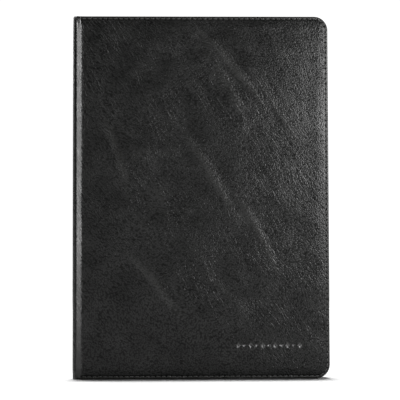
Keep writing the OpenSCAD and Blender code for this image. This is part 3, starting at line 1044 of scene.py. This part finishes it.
# %% [markdown]
# ## Stitches
# A saddler's seam shows as short rounded strokes that dive into the leather at both ends. There are
# hundreds, so each one is only a few dozen faces: rings of six points round a short centre line,
# closing to a point at each end. One array holds all the stitches of a row at once.

# %% Seams
STITCH_L = 2.9 * MM
THREAD_R = 0.27 * MM
STITCH_DIVE = 0.35 * MM
STITCH_RISE = 0.16 * MM
INNER_STITCH_DROP = 0.15 * MM
STITCH_RINGS = np.linspace(-1, 1, 7)
STITCH_SIDES = np.linspace(0, 2 * math.pi, 7)[:-1]


def seam_place(run):
    """Place s, z and heading after a run along the seam: straight, quarter circle, straight, quarter
    circle, straight. Each part adds its own clipped share of the run."""
    tail = np.clip(run, 0, seam_side)
    first = np.clip(run - seam_side, 0, seam_arc) / seam_r
    rise = np.clip(run - seam_side - seam_arc, 0, seam_up)
    second = np.clip(run - seam_side - seam_arc - seam_up, 0, seam_arc) / seam_r
    head = np.clip(run - seam_side - 2 * seam_arc - seam_up, 0, seam_side)
    s = seam_start + tail + seam_r * np.sin(first) - seam_r * (1 - np.cos(second)) - head
    z = SEAM_INSET + seam_r * (1 - np.cos(first)) + rise + seam_r * np.sin(second)
    return s, z, first + second


def stitch_row(name, side, cover_t, inside):
    """All stitches of one seam. A stitch's radius is the thread's times the root of 1 - u^6, and its
    centre line dives by u^4, where u runs from -1 to 1 along it."""
    u = STITCH_RINGS[None, :, None]
    around = STITCH_SIDES[None, None, :]
    centre = ((np.arange(stitch_count) + 0.5) * seam_total / stitch_count)[:, None, None]
    s, z, heading = seam_place(centre + u * STITCH_L / 2)
    radius = THREAD_R * np.sqrt(1 - np.abs(u) ** 6)
    across = radius * np.cos(around)
    up = radius * np.sin(around)
    s, z = s - across * np.sin(heading), z + across * np.cos(heading)
    dive = STITCH_DIVE * u**4 - STITCH_RISE
    if inside:
        depth = inner_depth(s, cover_t) - INNER_STITCH_DROP - dive + up
    else:
        depth = SEAM_DROP + GROOVE_DEPTH + dive - up
    s, z, depth = np.broadcast_arrays(s, z, depth)
    index = np.arange(s.size).reshape(s.shape)
    index = np.concatenate([index, index[:, :, :1]], 2)
    corners = (index[:, :-1, :-1], index[:, :-1, 1:], index[:, 1:, 1:], index[:, 1:, :-1])
    quads = np.stack(corners, -1)
    piece = make_piece(name, place(s, z, depth, side), quads.reshape(-1, 4), black_thread)
    shape = bmesh.new()
    shape.from_mesh(piece.data)
    bmesh.ops.remove_doubles(shape, verts=shape.verts, dist=0.001 * MM)
    bmesh.ops.recalc_face_normals(shape, faces=shape.faces)
    shape.to_mesh(piece.data)
    shape.free()
    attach(piece, "front_cover" if side < 0 else "back_cover")
    return piece


for row_name, side, cover_t, inside in (
    ("front_stitching", -1, front_t, False),
    ("front_inner_stitching", -1, front_t, True),
    ("back_stitching", 1, back_t, False),
    ("back_inner_stitching", 1, back_t, True),
):
    row = stitch_row(row_name.replace("stitching", "stitches"), side, cover_t, inside)
    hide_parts(row_name)

# %% [markdown]
# ## Camera ring and tray
# The ring that lines the camera window is turned as one profile round its axis: a rounded rectangle,
# because moulded edges are never sharp. The tray's shape is right already, so a copy of its mesh is
# merged, its flat faces joined again, and a small bevel softens every moulded edge.

# %% Camera ring
RING_EDGE_R = 0.28 * MM
RING_WALL = 0.8 * MM
RING_STEPS = 96
EDGE_STEPS = 4
ring_middle = ring_r - RING_WALL / 2
ring_y = (ring_low.y + ring_high.y) / 2
ring_length = ring_high.y - ring_low.y
profile = []
for quarter, (right, up) in enumerate(((1, 1), (-1, 1), (-1, -1), (1, -1))):
    turn = np.linspace(0, math.pi / 2, EDGE_STEPS + 1) + quarter * math.pi / 2
    wall = ring_middle + right * (RING_WALL / 2 - RING_EDGE_R) + RING_EDGE_R * np.cos(turn)
    length = ring_y + up * (ring_length / 2 - RING_EDGE_R) + RING_EDGE_R * np.sin(turn)
    profile.append(np.stack([wall, length], -1))
profile = np.vstack(profile)
around = np.linspace(0, 2 * math.pi, RING_STEPS + 1)[:-1, None]
ring_points = np.stack([
    hole_x + profile[:, 0] * np.cos(around),
    np.broadcast_to(profile[:, 1], (RING_STEPS, len(profile))),
    hole_z + profile[:, 0] * np.sin(around),
], -1)
ring_index = np.arange(RING_STEPS * len(profile)).reshape(RING_STEPS, -1)
ring_index = np.vstack([ring_index, ring_index[:1]])
ring_index = np.hstack([ring_index, ring_index[:, :1]])
camera_ring = make_piece("camera_window_ring", ring_points, grid_faces(ring_index), ring_plastic)
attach(camera_ring, "back_cover")
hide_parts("camera_ring")

# %% Tablet tray
TRAY_BEVEL = 0.25 * MM
FLAT_ANGLE = math.radians(0.6)
EDGE_ANGLE = math.radians(35)


def softened_copy(name, node, bevel, material):
    """A copy of a CAD node's mesh, merged, with its flat faces joined and a bevel on its real edges."""
    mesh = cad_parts[node].data.copy()
    mesh.name = name
    shape = bmesh.new()
    shape.from_mesh(mesh)
    bmesh.ops.remove_doubles(shape, verts=shape.verts, dist=0.002 * MM)
    bmesh.ops.dissolve_limit(shape, angle_limit=FLAT_ANGLE, verts=shape.verts, edges=shape.edges)
    shape.to_mesh(mesh)
    shape.free()
    mesh.polygons.foreach_set("use_smooth", np.ones(len(mesh.polygons), bool))
    mesh.materials.clear()
    mesh.materials.append(material)
    piece = new_object(name, mesh)
    edge = piece.modifiers.new("moulded edges", "BEVEL")
    edge.width = bevel
    edge.segments = 2
    edge.limit_method = "ANGLE"
    edge.angle_limit = EDGE_ANGLE
    edge.harden_normals = True
    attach(piece, "back_cover")
    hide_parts(node)
    print(f"{name}: {len(mesh.polygons)} faces before the bevel")
    return piece


tray = softened_copy("tablet_tray", "tablet_shell", TRAY_BEVEL, tray_plastic)

# %% [markdown]
# ## Finishes on the parts that stay
# Boards, magnets, the tape and the pad are flat or hidden, and their CAD shapes are the real ones.
# They only need their finishes.

# %% Finishes on CAD parts
for node, finish in {
    "front_board": fibre_board,
    "spine_board": fibre_board,
    "back_board": fibre_board,
    "front_magnets": plated_nickel,
    "back_magnets": plated_nickel,
    "shell_tape": adhesive_sheet,
    "shell_pad": pad_microfibre,
}.items():
    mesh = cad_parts[node].data
    mesh.materials.clear()
    mesh.materials.append(finish)
    print(node, "is", finish.name)

# %% [markdown]
# ## Studio
# The case stands on a plain white floor. A tall strip at the left front draws the bright line down
# the rounded spine, and a soft box close on the right gives the cover its slow sheen. Two boxes
# behind light the back. The floor has a sun of its own, almost straight down, which is soft enough
# for a short contact shadow; light linking keeps it off the case, whose top edges stay dark. The
# strip and the front box leave the floor alone in turn, because they would fill that shadow. The
# world is white to the camera and dim to everything else.

# %% Floor
FLOOR_R = 12.0
FLOOR_SIDES = 64
floor_turn = np.linspace(0, 2 * math.pi, FLOOR_SIDES + 1)[:-1]
floor_points = FLOOR_R * np.stack([np.cos(floor_turn), np.sin(floor_turn), 0 * floor_turn], -1)
floor_mesh = bpy.data.meshes.new("floor")
floor_mesh.from_pydata(floor_points.tolist(), [], [list(range(FLOOR_SIDES))])
paper = Finish("white_floor", Specular_IOR_Level=0.1)
paper_tone = paper.noise(paper.own_place(), 3.0)
white_floor = paper.done(paper.blend_colours(paper_tone, (0.86, 0.86, 0.86), (0.88, 0.88, 0.88)), 0.9)
floor_mesh.materials.append(white_floor)
floor = new_object("floor", floor_mesh)


# %% Lights
# name, position, target, width and height, power, and whether it is kept off the floor
SOFT_BOXES = (
    ("spine_strip", (-0.72, -1.0, 0.42), (-0.08, 0, 0.15), (0.1, 0.78), 7.5, True),
    ("sheen_box", (0.25, -0.24, 0.215), (0.03, 0, 0.14), (0.2, 0.2), 2.1, True),
    ("back_left", (-1.4, 1.6, 1.0), (0, 0, 0.12), (1.2, 1.2), 20, False),
    ("back_right", (1.5, 1.3, 0.9), (0, 0, 0.12), (1.2, 1.2), 14, False),
)
SUN_POWER = 3.7
SUN_SPREAD = math.radians(6)
SUN_TILT = math.radians(-4.5)


def soft_box(name, position, target, size, power):
    """A rectangular area light at a position, turned to a target; size is its width and height."""
    data = bpy.data.lights.new(name, "AREA")
    data.shape = "RECTANGLE"
    data.size, data.size_y = size
    data.energy = power
    lamp = new_object(name, data)
    lamp.location = position
    lamp.rotation_euler = (Vector(target) - Vector(position)).to_track_quat("-Z", "Y").to_euler()
    lamp.visible_camera = False
    print(name, "gives", power, "W")
    return lamp


off_floor = bpy.data.collections.new("all but the floor")
off_floor.objects.link(floor)
off_floor.collection_objects[0].light_linking.link_state = "EXCLUDE"
for name, position, target, size, power, keep_off in SOFT_BOXES:
    lamp = soft_box(name, position, target, size, power)
    if keep_off:
        lamp.light_linking.receiver_collection = off_floor

sun_data = bpy.data.lights.new("floor_sun", "SUN")
sun_data.energy = SUN_POWER
sun_data.angle = SUN_SPREAD
floor_sun = new_object("floor_sun", sun_data)
floor_sun.rotation_euler = (SUN_TILT, 0, 0)
only_floor = bpy.data.collections.new("lit by the floor's sun")
only_floor.objects.link(floor)
floor_sun.light_linking.receiver_collection = only_floor

# %% World and view
ROOM_LIGHT = 0.06
ROOM_SEEN = 1.1
world = bpy.data.worlds.new("studio")
world.use_nodes = True
nodes, links = world.node_tree.nodes, world.node_tree.links
seen = nodes.new("ShaderNodeLightPath")
room = nodes["Background"]
room.inputs["Color"].default_value = (1, 1, 1, 1)
strength = nodes.new("ShaderNodeMapRange")
strength.inputs["To Min"].default_value = ROOM_LIGHT
strength.inputs["To Max"].default_value = ROOM_SEEN
links.new(seen.outputs["Is Camera Ray"], strength.inputs["Value"])
links.new(strength.outputs["Result"], room.inputs["Strength"])
bpy.context.scene.world = world
bpy.context.scene.view_settings.view_transform = "Standard"
